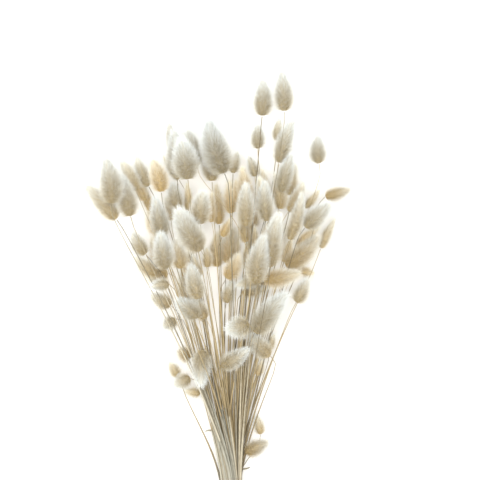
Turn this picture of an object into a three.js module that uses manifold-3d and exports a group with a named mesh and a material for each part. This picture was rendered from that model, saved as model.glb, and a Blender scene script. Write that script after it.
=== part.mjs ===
// A dried bunch of bunny tail grass, Lagurus ovatus, laid on a table.
// Millimetres. X runs across the bunch, Y along it from the tie to the heads, Z is up.
// Every culm is one grown piece: a thin straw stem with one soft, egg-shaped head at its end. The culms run
// through a twine tie, turn round each other there as in a hand-tied posy, and fan out above it.
import * as THREE from "three";
import { mergeVertices } from "three/addons/utils/BufferGeometryUtils.js";
import Module from "manifold-3d";

// Each head's place on a 480 mm square drawing sheet, in millimetres from its left and top edges:
// tip x, tip y, base x, base y, width across the down, and how high it lies in the bunch, from 0 to 1. Where
// two more numbers follow, its stem swings out to the right and up by so much on its way to the tie.
const HIGH_SINGLES = [
  [262, 77, 262, 117, 17, 0.5],
  [281, 70, 284, 113, 17, 0.62],
  [258, 122, 258, 149, 13, 0.4],
  [280, 116, 277, 141, 10, 0.35],
  [295, 117, 279, 164, 15, 0.45],
  [319, 133, 319, 164, 15, 0.45],
];
const LEFT_CROWN = [
  [107, 157, 114, 205, 20, 0.85],
  [84, 184, 118, 220, 17, 0.65],
  [120, 157, 137, 192, 14, 0.5],
  [121, 173, 132, 217, 18, 0.7],
  [130, 171, 145, 201, 11, 0.35],
  [143, 182, 150, 211, 9, 0.3],
  [136, 154, 149, 187, 13, 0.45],
  [151, 158, 162, 193, 16, 0.6],
];
const TOP_CROWN = [
  [167, 120, 173, 152, 12, 0.3],
  [174, 129, 178, 179, 19, 0.6],
  [182, 139, 189, 181, 22, 0.9],
  [187, 127, 197, 167, 18, 0.45, 40, 30],
  [162, 153, 179, 180, 9, 0.35],
  [209, 119, 225, 175, 24, 0.9],
  [239, 149, 233, 173, 12, 0.3],
  [247, 154, 255, 177, 10, 0.4],
  [204, 136, 212, 182, 17, 0.35],
];
const MIDDLE_CROWN = [
  [261, 166, 266, 203, 12, 0.3],
  [242, 165, 247, 206, 14, 0.45],
  [246, 182, 246, 227, 15, 0.75],
  [244, 214, 246, 243, 11, 0.5],
  [265, 180, 267, 222, 15, 0.7],
  [259, 175, 258, 212, 11, 0.55],
  [274, 171, 280, 210, 12, 0.4],
  [235, 178, 239, 204, 10, 0.35],
  [229, 178, 231, 214, 14, 0.2],
  [216, 182, 219, 225, 13, 0.2],
  [233, 280, 226, 304, 12, 0.3],
];
const RIGHT_CROWN = [
  [293, 152, 281, 193, 14, 0.5],
  [297, 162, 291, 196, 13, 0.3],
  [304, 179, 288, 212, 13, 0.35],
  [302, 192, 289, 241, 13, 0.6],
  [321, 188, 305, 208, 9, 0.35],
  [352, 189, 325, 197, 12, 0.4],
  [332, 202, 304, 228, 17, 0.6],
  [337, 217, 321, 249, 10, 0.3],
  [322, 226, 297, 248, 11, 0.35],
  [320, 234, 285, 267, 18, 0.45],
  [302, 272, 263, 279, 16, 0.75],
  [317, 274, 299, 270, 10, 0.3],
  [309, 277, 296, 303, 14, 0.5],
  [287, 186, 280, 209, 11, 0.2],
  [293, 238, 284, 263, 10, 0.25],
];
const CENTRE = [
  [279, 212, 269, 268, 18, 0.85],
  [265, 234, 256, 284, 18, 0.95],
  [240, 252, 226, 279, 15, 0.5],
  [234, 287, 262, 280, 12, 0.45],
  [269, 289, 242, 293, 11, 0.3],
  [231, 217, 222, 237, 10, 0.4],
  [255, 224, 255, 247, 9, 0.35],
  [268, 221, 265, 246, 10, 0.3],
  [205, 190, 201, 225, 18, 0.8],
  [213, 191, 212, 223, 10, 0.55],
  [247, 240, 246, 270, 12, 0.3],
  [206, 246, 207, 268, 10, 0.3],
];
const LEFT_CENTRE = [
  [156, 196, 163, 238, 16, 0.75],
  [162, 231, 167, 269, 18, 0.9],
  [178, 236, 181, 269, 15, 0.6],
  [178, 207, 202, 251, 22, 0.9],
  [174, 181, 178, 210, 15, 0.5],
  [186, 181, 187, 211, 9, 0.4],
  [165, 195, 171, 221, 12, 0.35],
  [151, 235, 158, 268, 13, 0.45],
  [186, 250, 190, 276, 13, 0.4],
  [191, 262, 199, 299, 16, 0.8],
  [193, 253, 200, 277, 10, 0.55],
];
const LEFT_SIDE = [
  [132, 231, 146, 255, 14, 0.5],
  [135, 254, 158, 273, 14, 0.5],
  [146, 281, 168, 273, 14, 0.4],
  [150, 287, 170, 284, 12, 0.75],
  [148, 295, 171, 306, 14, 0.45],
  [176, 298, 199, 317, 17, 0.8],
  [193, 297, 206, 319, 14, 0.6],
  [160, 328, 176, 319, 13, 0.6],
  [176, 350, 191, 357, 14, 0.45],
  [202, 388, 204, 350, 17, 0.9],
  [167, 362, 178, 379, 11, 0.4],
  [171, 387, 190, 379, 14, 0.55],
  [182, 392, 200, 395, 10, 0.4],
];
const LOW_RIGHT = [
  [225, 330, 249, 324, 19, 0.85],
  [288, 292, 254, 334, 21, 0.65],
  [249, 332, 271, 356, 16, 0.65],
  [276, 333, 270, 351, 9, 0.35],
  [250, 347, 221, 366, 15, 0.85],
  [263, 359, 257, 377, 9, 0.4],
  [256, 416, 261, 437, 10, 0.3],
  [269, 443, 245, 455, 14, 0.75],
];
// The heads that the bunch lies on. They are under the others.
const UNDERSIDE = [
  [150, 200, 160, 236, 15, 0],
  [285, 222, 272, 262, 16, 0],
  [219, 230, 217, 268, 12, 0],
  [245, 190, 248, 230, 15, 0],
  [180, 270, 190, 305, 14, 0],
  [262, 250, 255, 290, 14, 0],
  [234, 226, 227, 264, 15, 0],
];
const HEAD_ROWS = [
  ...HIGH_SINGLES,
  ...LEFT_CROWN,
  ...TOP_CROWN,
  ...MIDDLE_CROWN,
  ...RIGHT_CROWN,
  ...CENTRE,
  ...LEFT_CENTRE,
  ...LEFT_SIDE,
  ...LOW_RIGHT,
  ...UNDERSIDE,
];

// The sheet point where the stems leave the tie.
const SHEET_TIE = [231, 485];

// The bunch's thickness from the table up, at the tie's end and where it is fullest. It is loosest on top,
// and the heads that lie high in it point up a little.
const THIN_HEIGHT = 30;
const FULL_HEIGHT = 128;
const FULL_AT = 300;
const LOOSER_UP = 1.25;
const RISE_PER_HEIGHT = 0.5;
const LEVEL_HEIGHT = 0.35;
const MOST_DROOP = -0.04;

// Stems: radius over the corners of their three-sided section, at the foot and under the head.
const STEM_SIDES = 3;
const FOOT_RADIUS = 0.75;
const NECK_RADIUS = 0.5;
const FOOT_LENGTH = 92;
const FOOT_UNEVEN = 9;
const ROOT_SHARE = 0.14;
const SLOT_PITCH = 2;
const SLOT_ROWS = 12;
const NECK_LONG = 12;
const NECK_SHARE = 0.13;
const STEM_GAP = 0.5;
const STATION = 10;
const LOWEST_STEM = 1.2;
const WEB_THICKNESS = 0.8;
const THINNING = 0.8;

// How far the culms turn round the bunch's axis, above the tie and again below it.
const TWIST = THREE.MathUtils.degToRad(-50);
const TWIST_REACH = 160;
const NEAR_REACH = 25;
const FOOT_TWIST = THREE.MathUtils.degToRad(-40);
const FOOT_SPREAD = 1.16;

// Heads: tufts stand out of a smaller body, so many round it and one ring of them each few millimetres.
const TUFT_COLUMNS = 8;
const TUFT_RING = 8.8;
const TUFT_TURN = 0.06;
const BODY_SHARE = 0.74;
const LOW_BELLY = 0.72;
const BLUNT = 0.62;
const MOST_BOW = 0.06;
const TUFT_LIFT = 0.5;
const HEAD_GAP = 0.35;

// How far the heads on the table are pressed flat, and how far the others stay above it at least.
const PRESSED = 2.4;
const LIFTED = 0.8;

// The tie: turns of thin twine round the waist.
const TWINE_RADIUS = 1.1;
const TWINE_TURNS = 4;
const TIE_SIDES = 28;
const TIE_GAP = 0.4;
const TIE_PRESSED = 0.25;
const GROOVE = 0.7;
const TABLE_SIZE = 1400;

const STRAW = new THREE.MeshStandardMaterial({ color: "#cdb88f", roughness: 0.8, metalness: 0 });
const TWINE = new THREE.MeshStandardMaterial({ color: "#b99f74", roughness: 0.95, metalness: 0 });

const wasm = await Module();
wasm.setup();

// A small generator of even numbers from 0 to 1, the same on every run.
function seeded(seed) {
  let state = seed;
  return () => {
    state = (state * 16807) % 2147483647;
    return state / 2147483647;
  };
}

// The outline of a head: its half width at a share s of its length, 1 at its widest.
function outline(s) {
  return Math.sin(Math.PI * Math.max(0, Math.min(1, s)) ** LOW_BELLY) ** BLUNT;
}

// A head as it lies: base, axis, length, half width, and a slight bow to one side.
function layHead(row, random) {
  const [tipX, tipY, baseX, baseY, width, height, swingX = 0, swingZ = 0] = row;
  const base = new THREE.Vector3(baseX - SHEET_TIE[0], SHEET_TIE[1] - baseY, 0);
  const tip = new THREE.Vector3(tipX - SHEET_TIE[0], SHEET_TIE[1] - tipY, 0);
  const radius = width / 2;
  const span = base.distanceTo(tip);
  const middle = (base.y + tip.y) / 2;
  const full = THREE.MathUtils.smoothstep(middle, 0, FULL_AT);
  const bunch = THIN_HEIGHT + (FULL_HEIGHT - THIN_HEIGHT) * full;
  const centre = radius + height ** LOOSER_UP * (bunch - 2 * radius);
  const rise = height > 0 ? span * Math.max(MOST_DROOP, RISE_PER_HEIGHT * (height - LEVEL_HEIGHT)) : 0;
  base.z = centre - rise / 2;
  tip.z = centre + rise / 2;
  const axis = tip.clone().sub(base).normalize();
  const side = new THREE.Vector3(axis.y, -axis.x, 0).normalize();
  const bow = (2 * random() - 1) * MOST_BOW;
  return { base, axis, side, radius, height, swingX, swingZ, length: base.distanceTo(tip), bow };
}

// A point on the head's middle line at a share s of its length.
function along(head, s) {
  return head.base
    .clone()
    .addScaledVector(head.axis, head.length * s)
    .addScaledVector(head.side, head.length * head.bow * 4 * s * (1 - s));
}

// Where the straight last stretch of stem begins, under the head. It is shorter near the tie and on a head
// that lies across the bunch.
function neckStart(head) {
  const start = along(head, 0.02).sub(head.base).normalize();
  const long = Math.min(NECK_LONG, NECK_SHARE * head.base.y) * (0.3 + 0.7 * Math.abs(head.axis.y));
  return head.base.clone().addScaledVector(start, -long);
}

// The room a head takes, as balls along it, and small ones along its neck.
const BALL_SHARES = [0.08, 0.19, 0.3, 0.41, 0.52, 0.63, 0.74, 0.85, 0.95];
function roomOf(head) {
  const balls = BALL_SHARES.map((s) => ({ at: along(head, s), radius: outline(s) * head.radius }));
  const start = neckStart(head);
  for (const share of [0, 0.33, 0.67]) {
    balls.push({ at: start.clone().lerp(head.base, share), radius: NECK_RADIUS });
  }
  return balls;
}

// Heads come to lie on and beside each other: where two would share room, the higher one rises and the lower
// one sinks, and both give way a little to the side. The ones on the table stay on it.
const HEAD_ROUNDS = 240;
const SIDE_SHARE = 0.2;
function settleHeads(heads) {
  for (let round = 0; round < HEAD_ROUNDS; round++) {
    const rooms = heads.map(roomOf);
    const shifts = heads.map(() => new THREE.Vector3());
    for (let i = 0; i < heads.length; i++) {
      for (let j = i + 1; j < heads.length; j++) {
        const push = pushApart(rooms[i], rooms[j]);
        if (!push) continue;
        shifts[i].add(push);
        shifts[j].sub(push);
      }
    }
    heads.forEach((head, i) => {
      if (head.height === 0) shifts[i].z = 0;
      head.base.addScaledVector(shifts[i], 0.5);
      const low = Math.min(...roomOf(head).map((ball) => ball.at.z - ball.radius));
      if (head.height === 0) head.base.z -= low + PRESSED;
      else if (low < LIFTED) head.base.z += LIFTED - low;
    });
  }
}

// The push on the first of two heads at their deepest contact, or nothing if they are clear.
function pushApart(room, other) {
  let worst = HEAD_GAP;
  let push = null;
  for (const a of room) {
    for (const b of other) {
      const gap = a.at.distanceTo(b.at) - a.radius - b.radius;
      if (gap >= worst) continue;
      worst = gap;
      const depth = HEAD_GAP - gap;
      const way = a.at.clone().sub(b.at).normalize();
      const up = a.at.z >= b.at.z ? 1 : -1;
      push = new THREE.Vector3(way.x * SIDE_SHARE, way.y * SIDE_SHARE, up * Math.max(0.6, Math.abs(way.z)));
      push.multiplyScalar(depth);
    }
  }
  return push;
}

// The places of the stems in the tie: rows packed like oranges, the nearest ones to the middle.
function packSlots(count) {
  const slots = [];
  for (let row = -SLOT_ROWS; row <= SLOT_ROWS; row++) {
    for (let column = -SLOT_ROWS; column <= SLOT_ROWS; column++) {
      const x = (column + (row % 2 ? 0.5 : 0)) * SLOT_PITCH;
      const z = row * SLOT_PITCH * Math.sqrt(0.75);
      slots.push({ x, z, row, column });
    }
  }
  slots.sort((a, b) => Math.hypot(a.x, a.z) - Math.hypot(b.x, b.z) || a.row - b.row || a.column - b.column);
  return slots.slice(0, count).sort((a, b) => a.row - b.row || a.column - b.column);
}

// A point turned about the bunch's axis.
function turn(x, z, angle) {
  return [x * Math.cos(angle) - z * Math.sin(angle), x * Math.sin(angle) + z * Math.cos(angle)];
}

// Gives each head the slot that lies on its side of the bunch, so that few stems have to cross.
function shareSlots(heads, slots) {
  const slopes = heads.map((head) => {
    const start = neckStart(head);
    const reach = Math.max(NEAR_REACH, start.y);
    return [start.x / reach, (start.z - TIE_HEIGHT) / reach];
  });
  const spread = [0, 1].map((n) => {
    const mean = slopes.reduce((sum, s) => sum + s[n], 0) / slopes.length;
    const wide = Math.sqrt(slopes.reduce((sum, s) => sum + (s[n] - mean) ** 2, 0) / slopes.length);
    return [mean, wide];
  });
  const wants = slopes.map((s, i) => {
    const [x, z] = s.map((value, n) => ((value - spread[n][0]) / spread[n][1]) * BUNDLE_RADIUS * 0.5);
    return turn(x, z, TWIST * Math.min(1, heads[i].base.y / TWIST_REACH));
  });
  const taken = heads.map((_, i) => i);
  const cost = (i, slot) => (wants[i][0] - slots[slot].x) ** 2 + (wants[i][1] - slots[slot].z) ** 2;
  for (let swapped = true; swapped; ) {
    swapped = false;
    for (let i = 0; i < taken.length; i++) {
      for (let j = i + 1; j < taken.length; j++) {
        const now = cost(i, taken[i]) + cost(j, taken[j]);
        const then = cost(i, taken[j]) + cost(j, taken[i]);
        if (then < now - 1e-9) {
          [taken[i], taken[j]] = [taken[j], taken[i]];
          swapped = true;
        }
      }
    }
  }
  return taken;
}

// A stem's radius over the corners of its section, at a height y above the tie.
function stemRadius(y) {
  return FOOT_RADIUS + (NECK_RADIUS - FOOT_RADIUS) * THREE.MathUtils.smoothstep(y, 30, 260);
}

// A stem's points above the tie: one at each station, then the start of its neck. The stems leave the tie
// gathered and spread out further up. Each point keeps where it would like to be.
const GATHERED = 1.3;
const SWING_LOW = 2.1;
function layStem(head, slot) {
  const end = neckStart(head);
  const count = Math.max(1, Math.floor((end.y - STATION * 0.6) / STATION));
  const points = [];
  const startZ = slot.z + TIE_HEIGHT;
  for (let k = 0; k <= count; k++) {
    const share = (k * STATION) / end.y;
    const out = share ** GATHERED;
    const swing = Math.sin(Math.PI * share ** SWING_LOW);
    const x = slot.x + (end.x - slot.x) * out + head.swingX * swing;
    const z = startZ + (end.z - startZ) * out + head.swingZ * swing;
    points.push({ x, z, liked: [x, z] });
  }
  return { points, end };
}

// Stems settle between the heads and each other: each stays as straight as it can, gives way where it would
// touch another, and bends round a head in its way. All give way at once, round after round.
const STEM_ROUNDS = 400;
const STRAIGHTEN = 0.25;
function settleStems(stems, rooms) {
  for (let round = 0; round < STEM_ROUNDS; round++) {
    const shifts = stems.map((stem) => stem.points.map(() => [0, 0]));
    stems.forEach((stem, i) => straighten(stem, shifts[i]));
    for (let i = 0; i < stems.length; i++) {
      for (let j = i + 1; j < stems.length; j++) partStems(stems[i], stems[j], shifts[i], shifts[j]);
    }
    stems.forEach((stem, i) => rooms.forEach((room, j) => roundHead(stem, room, i === j, shifts[i])));
    stems.forEach((stem, i) => {
      stem.points.forEach((point, k) => {
        if (k === 0) return;
        point.x += shifts[i][k][0];
        point.z = Math.max(LOWEST_STEM, point.z + shifts[i][k][1]);
      });
    });
  }
}

// Evens out how far each point of a stem has been moved from where it would like to be.
function straighten(stem, shift) {
  const { points, end } = stem;
  const moved = points.map((point) => [point.x - point.liked[0], point.z - point.liked[1]]);
  for (let k = 1; k < points.length; k++) {
    const next = k + 1 < points.length ? moved[k + 1] : [0, 0];
    const reach = k + 1 < points.length ? STATION : end.y - k * STATION;
    const share = STATION / (STATION + reach);
    [0, 1].forEach((n) => {
      shift[k][n] += STRAIGHTEN * (moved[k - 1][n] + (next[n] - moved[k - 1][n]) * share - moved[k][n]);
    });
  }
}

// Moves two stems apart wherever they come closer than their gap.
function partStems(one, other, shiftOne, shiftOther) {
  const count = Math.min(one.points.length, other.points.length) - 1;
  for (let k = 0; k < count; k++) {
    const ax = one.points[k].x - other.points[k].x;
    const az = one.points[k].z - other.points[k].z;
    const ex = one.points[k + 1].x - other.points[k + 1].x - ax;
    const ez = one.points[k + 1].z - other.points[k + 1].z - az;
    const run = ex * ex + ez * ez;
    const t = run > 1e-9 ? Math.max(0, Math.min(1, -(ax * ex + az * ez) / run)) : 0;
    const gx = ax + ex * t;
    const gz = az + ez * t;
    const near = Math.max(1e-6, Math.hypot(gx, gz));
    const depth = 2 * stemRadius(k * STATION) + STEM_GAP - near;
    if (depth <= 0) continue;
    const push = (0.5 * depth) / near / ((1 - t) ** 2 + t ** 2) / 2;
    const pull = [gx * push, gz * push];
    [0, 1].forEach((n) => {
      shiftOne[k][n] += (1 - t) * pull[n];
      shiftOne[k + 1][n] += t * pull[n];
      shiftOther[k][n] -= (1 - t) * pull[n];
      shiftOther[k + 1][n] -= t * pull[n];
    });
  }
}

// Moves a stem off a head that lies in its way, also off its own, which a bent stem can pass.
function roundHead(stem, room, own, shift) {
  const { points, end } = stem;
  for (const ball of room) {
    const clear = ball.radius + FOOT_RADIUS + STEM_GAP;
    const from = Math.max(0, Math.floor((ball.at.y - clear) / STATION));
    const to = Math.min(points.length - 1, Math.floor((ball.at.y + clear) / STATION));
    for (let k = from; k <= to; k++) {
      const last = k + 1 >= points.length;
      if (own && last) continue;
      const next = last ? end : points[k + 1];
      const reach = last ? end.y - k * STATION : STATION;
      const dx = next.x - points[k].x;
      const dz = next.z - points[k].z;
      const px = ball.at.x - points[k].x;
      const py = ball.at.y - k * STATION;
      const pz = ball.at.z - points[k].z;
      const run = dx * dx + reach * reach + dz * dz;
      const t = Math.max(0, Math.min(1, (px * dx + py * reach + pz * dz) / run));
      const gx = dx * t - px;
      const gy = reach * t - py;
      const gz = dz * t - pz;
      const flat = Math.max(1e-6, Math.hypot(gx, gz));
      const wanted = clear * clear - gy * gy;
      if (wanted <= flat * flat) continue;
      const push = (0.5 * (Math.sqrt(wanted) - flat)) / flat / ((1 - t) ** 2 + t ** 2);
      shift[k][0] += (1 - t) * gx * push;
      shift[k][1] += (1 - t) * gz * push;
      if (!last) {
        shift[k + 1][0] += t * gx * push;
        shift[k + 1][1] += t * gz * push;
      }
    }
  }
}

// The line of a stem from its cut end to inside its head.
function stemLine(stem, slot, head) {
  const [footX, footZ] = turn(slot.x, slot.z, FOOT_TWIST);
  const cut = FOOT_LENGTH - FOOT_UNEVEN * head.cut;
  const line = [
    new THREE.Vector3(footX * FOOT_SPREAD, -cut, TIE_HEIGHT + footZ * FOOT_SPREAD),
    new THREE.Vector3(slot.x, -2 * TIE_HALF, slot.z + TIE_HEIGHT),
  ];
  stem.points.forEach((point, k) => line.push(new THREE.Vector3(point.x, k * STATION, point.z)));
  const kept = [line[0], line[1], ...thinned(line.slice(2).concat([stem.end]), THINNING)];
  return kept.concat([along(head, 0), along(head, ROOT_SHARE)]);
}

// Leaves out the points of a line that lie within a tolerance of the straight between their neighbours.
function thinned(line, tolerance) {
  const first = line[0];
  const last = line[line.length - 1];
  const chord = new THREE.Line3(first, last);
  let far = 0;
  let at = -1;
  line.forEach((point, k) => {
    const off = chord.closestPointToPoint(point, true, new THREE.Vector3()).distanceTo(point);
    if (off > far) [far, at] = [off, k];
  });
  if (far <= tolerance) return [first, last];
  return [...thinned(line.slice(0, at + 1), tolerance), ...thinned(line.slice(at), tolerance).slice(1)];
}

// A closed rod along a line of points: a cylinder's rings, each moved to its point and square to the line.
function rod(line, radiusAt, sides) {
  const segments = line.length - 1;
  const geometry = new THREE.CylinderGeometry(1, 1, segments, sides, segments);
  const position = geometry.getAttribute("position");
  const frames = [];
  let across = new THREE.Vector3(1, 0, 0);
  line.forEach((point, k) => {
    const before = line[Math.max(0, k - 1)];
    const after = line[Math.min(segments, k + 1)];
    const way = after.clone().sub(before).normalize();
    across = across.clone().addScaledVector(way, -across.dot(way)).normalize();
    frames.push({ across, other: way.clone().cross(across) });
  });
  for (let i = 0; i < position.count; i++) {
    const k = Math.round(position.getY(i) + segments / 2);
    const r = radiusAt(line[k]);
    const spot = line[k]
      .clone()
      .addScaledVector(frames[k].across, position.getX(i) * r)
      .addScaledVector(frames[k].other, -position.getZ(i) * r);
    position.setXYZ(i, spot.x, spot.y, spot.z);
  }
  return geometry;
}

// A head: a sphere's rings stretched to the outline, with every other point drawn out and up into a tuft.
function headGeometry(head) {
  const rings = Math.max(5, Math.round(head.length / TUFT_RING) + 1);
  const geometry = new THREE.SphereGeometry(1, TUFT_COLUMNS, rings);
  const position = geometry.getAttribute("position");
  const step = 1 / rings;
  const up = head.axis.clone().cross(head.side).normalize();
  for (let i = 0; i < position.count; i++) {
    const ring = rings - Math.floor(i / (TUFT_COLUMNS + 1));
    const column = i % (TUFT_COLUMNS + 1) % TUFT_COLUMNS;
    const pole = ring === 0 || ring === rings;
    const tuft = !pole && (ring + column) % 2 === 0;
    const share = ring / rings;
    const s = tuft ? Math.min(0.97, share + TUFT_LIFT * step) : share;
    const wide = pole ? 0 : head.radius * (tuft ? outline(s) : BODY_SHARE * outline(share));
    const angle = (column / TUFT_COLUMNS + TUFT_TURN * ring) * 2 * Math.PI;
    const spot = along(head, s)
      .addScaledVector(head.side, wide * Math.cos(angle))
      .addScaledVector(up, wide * Math.sin(angle));
    position.setXYZ(i, spot.x, spot.y, spot.z);
  }
  return geometry;
}

// A closed body that can be joined and cut, made from a geometry.
function solid(geometry) {
  const bare = new THREE.BufferGeometry();
  bare.setAttribute("position", geometry.getAttribute("position"));
  bare.setIndex(geometry.index);
  const merged = mergeVertices(bare, 1e-3);
  const made = new wasm.Manifold(
    new wasm.Mesh({
      numProp: 3,
      vertProperties: new Float32Array(merged.attributes.position.array),
      triVerts: new Uint32Array(merged.index.array),
    }),
  );
  return made.volume() < 0 ? solid(flipped(merged)) : made;
}

// The geometry with its faces turned the other way round.
function flipped(geometry) {
  const index = geometry.index.array;
  for (let i = 0; i < index.length; i += 3) [index[i + 1], index[i + 2]] = [index[i + 2], index[i + 1]];
  return geometry;
}

// A named mesh made from a closed body.
function meshOf(made, name, material) {
  const data = made.getMesh();
  const points = new Float32Array(data.numVert * 3);
  for (let i = 0; i < data.numVert; i++) {
    points.set(data.vertProperties.subarray(i * data.numProp, i * data.numProp + 3), i * 3);
  }
  const geometry = new THREE.BufferGeometry();
  geometry.setAttribute("position", new THREE.BufferAttribute(points, 3));
  geometry.setIndex(new THREE.BufferAttribute(new Uint32Array(data.triVerts), 1));
  geometry.computeVertexNormals();
  const mesh = new THREE.Mesh(geometry, material);
  mesh.name = name;
  return mesh;
}

// The short web that joins two stems that are pressed together inside the tie.
function web(one, other) {
  const wide = Math.abs(one.x - other.x);
  const geometry = new THREE.BoxGeometry(wide, 2 * TIE_HALF - 2, WEB_THICKNESS);
  geometry.translate((one.x + other.x) / 2, -TIE_HALF, one.z + TIE_HEIGHT);
  return solid(geometry);
}

// The tie: turns of twine side by side, as one ring round the stems, flat where it lies on the table.
function tieGeometry() {
  const inner = BUNDLE_RADIUS + TIE_GAP;
  const profile = [new THREE.Vector2(inner, -TIE_HALF)];
  for (let number = 0; number < TWINE_TURNS; number++) {
    const middle = -TIE_HALF + TWINE_RADIUS * (2 * number + 1);
    profile.push(new THREE.Vector2(TIE_OUTER - GROOVE, middle - TWINE_RADIUS));
    profile.push(new THREE.Vector2(TIE_OUTER, middle));
  }
  profile.push(new THREE.Vector2(TIE_OUTER - GROOVE, TIE_HALF));
  profile.push(new THREE.Vector2(inner, TIE_HALF));
  profile.push(profile[0].clone());
  return new THREE.LatheGeometry(profile, TIE_SIDES);
}

const heads = HEAD_ROWS.map((row, i) => {
  const random = seeded(1009 + 37 * i);
  random();
  const head = layHead(row, random);
  head.cut = random();
  return head;
});
const slots = packSlots(heads.length);
const BUNDLE_RADIUS = Math.max(...slots.map((slot) => Math.hypot(slot.x, slot.z))) + FOOT_RADIUS;
const TIE_HALF = TWINE_RADIUS * TWINE_TURNS;
const TIE_OUTER = BUNDLE_RADIUS + TIE_GAP + 2 * TWINE_RADIUS;
const TIE_HEIGHT = TIE_OUTER - TIE_PRESSED;

settleHeads(heads);
const taken = shareSlots(heads, slots);
const stems = heads.map((head, i) => layStem(head, slots[taken[i]]));
settleStems(stems, heads.map(roomOf));

// One node for the one or two culms that share a pair of neighbouring slots in the tie.
const block = new THREE.BoxGeometry(TABLE_SIZE, TABLE_SIZE, TABLE_SIZE);
const table = solid(block.translate(0, 0, -TABLE_SIZE / 2));
const bunch = new THREE.Group();
const culmOfSlot = new Map(taken.map((slot, i) => [slot, i]));
const used = new Set();
let count = 0;
slots.forEach((slot, at) => {
  if (used.has(at)) return;
  used.add(at);
  const beside = at + 1 < slots.length && slots[at + 1].row === slot.row ? at + 1 : -1;
  const members = [at];
  if (beside > 0) {
    used.add(beside);
    members.push(beside);
  }
  const pieces = [];
  members.forEach((member) => {
    const i = culmOfSlot.get(member);
    const line = stemLine(stems[i], slots[member], heads[i]);
    pieces.push(solid(rod(line, (point) => stemRadius(point.y), STEM_SIDES)));
    pieces.push(solid(headGeometry(heads[i])));
  });
  if (beside > 0) pieces.push(web(slot, slots[beside]));
  let culms = wasm.Manifold.union(pieces);
  if (culms.boundingBox().min[2] < 0) culms = culms.subtract(table);
  count += 1;
  bunch.add(meshOf(culms, `culms_${String(count).padStart(2, "0")}`, STRAW));
});

const tie = solid(tieGeometry()).translate([0, -TIE_HALF, TIE_HEIGHT]).subtract(table);
bunch.add(meshOf(tie, "twine_tie", TWINE));

const box = new THREE.Box3().setFromObject(bunch);
bunch.position.set(-(box.min.x + box.max.x) / 2, -(box.min.y + box.max.y) / 2, 0);

export default bunch;
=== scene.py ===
# %% [markdown]
# A dried bunch of bunny tail grass, laid on a table and seen from above.
#
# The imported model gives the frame: every culm with its coarse head, and the ring of the tie, each at its
# real place. This script dresses them. Stems become smooth round straws, some of them in dry leaves, heads
# get a core of spikelets and a coat of fine hairs, and the tie becomes turns of twine. Everything is in
# metres, in the frame's axes.

# %% The frame
import math
import random

import bmesh
import bpy
import numpy as np
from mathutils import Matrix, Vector


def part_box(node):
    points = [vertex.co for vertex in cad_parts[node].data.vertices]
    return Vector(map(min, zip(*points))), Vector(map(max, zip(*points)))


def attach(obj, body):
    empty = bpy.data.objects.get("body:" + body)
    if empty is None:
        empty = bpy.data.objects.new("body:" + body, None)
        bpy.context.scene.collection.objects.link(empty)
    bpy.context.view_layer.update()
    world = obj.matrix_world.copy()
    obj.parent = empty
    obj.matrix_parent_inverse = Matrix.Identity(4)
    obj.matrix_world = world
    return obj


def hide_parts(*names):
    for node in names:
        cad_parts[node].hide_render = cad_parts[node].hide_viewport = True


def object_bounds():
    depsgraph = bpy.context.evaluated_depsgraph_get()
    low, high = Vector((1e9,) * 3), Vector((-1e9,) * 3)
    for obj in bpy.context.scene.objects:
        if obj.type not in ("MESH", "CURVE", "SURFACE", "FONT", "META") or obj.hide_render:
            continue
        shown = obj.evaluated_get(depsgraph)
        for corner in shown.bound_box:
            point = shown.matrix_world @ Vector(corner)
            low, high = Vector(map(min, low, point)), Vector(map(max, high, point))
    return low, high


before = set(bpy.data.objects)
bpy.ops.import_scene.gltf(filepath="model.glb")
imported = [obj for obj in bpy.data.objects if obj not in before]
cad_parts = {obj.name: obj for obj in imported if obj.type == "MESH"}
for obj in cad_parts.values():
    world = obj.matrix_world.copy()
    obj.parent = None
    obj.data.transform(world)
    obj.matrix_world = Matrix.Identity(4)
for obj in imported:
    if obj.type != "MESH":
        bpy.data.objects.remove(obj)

cad_low, cad_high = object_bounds()
MM = 0.001
culm_nodes = sorted(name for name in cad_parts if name.startswith("culms_"))
print("nodes with culms:", len(culm_nodes))

# %% [markdown]
# Where the culms are
#
# A node holds one or two culms. Each stem there is a thin rod with three corners, so its mesh is a row of
# rings of three vertices, and the head is all that hangs on the last ring. We walk each stem from the tie
# up to its head and down to its cut end, and keep the middle of every ring. Vertices are sorted first, so
# that each run adds them up alike and grows the same hairs.

# %% Rings of a stem
RING_EDGE = 1.45 * MM
SHORTEST_SIDE = 0.55 * RING_EDGE
LEVEL = 0.45 * MM
SAME_POINT = 0.001 * MM
tie_low, tie_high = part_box("twine_tie")
tie_middle = (tie_low + tie_high) / 2
print("tie in mm:", [round(v / MM, 1) for v in (*tie_low, *tie_high)])


def merged_copy(node):
    """The node's mesh with its loose triangles joined at their corners."""
    bm = bmesh.new()
    bm.from_mesh(node.data)
    bmesh.ops.remove_doubles(bm, verts=bm.verts, dist=SAME_POINT)
    bm.verts.index_update()
    return bm


def in_order(verts):
    return sorted(verts, key=lambda v: v.index)


def middle(verts):
    return sum((v.co for v in in_order(verts)), Vector()) / len(verts)


def together(start, allowed):
    """The given vertices and all that hang together with them by allowed edges."""
    group, todo = set(start), list(start)
    while todo:
        for edge in filter(allowed, todo.pop().link_edges):
            new = set(edge.verts) - group
            group |= new
            todo += new
    return group


def rings_at(bm, y):
    """The rings of the stems at a height along the bunch, from left to right."""
    level = sorted((v for v in bm.verts if abs(v.co.y - y) < LEVEL), key=lambda v: v.co.x)
    return [level[i : i + 3] for i in range(0, len(level), 3)]


def is_side(edge):
    return SHORTEST_SIDE < edge.calc_length() < RING_EDGE


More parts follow.
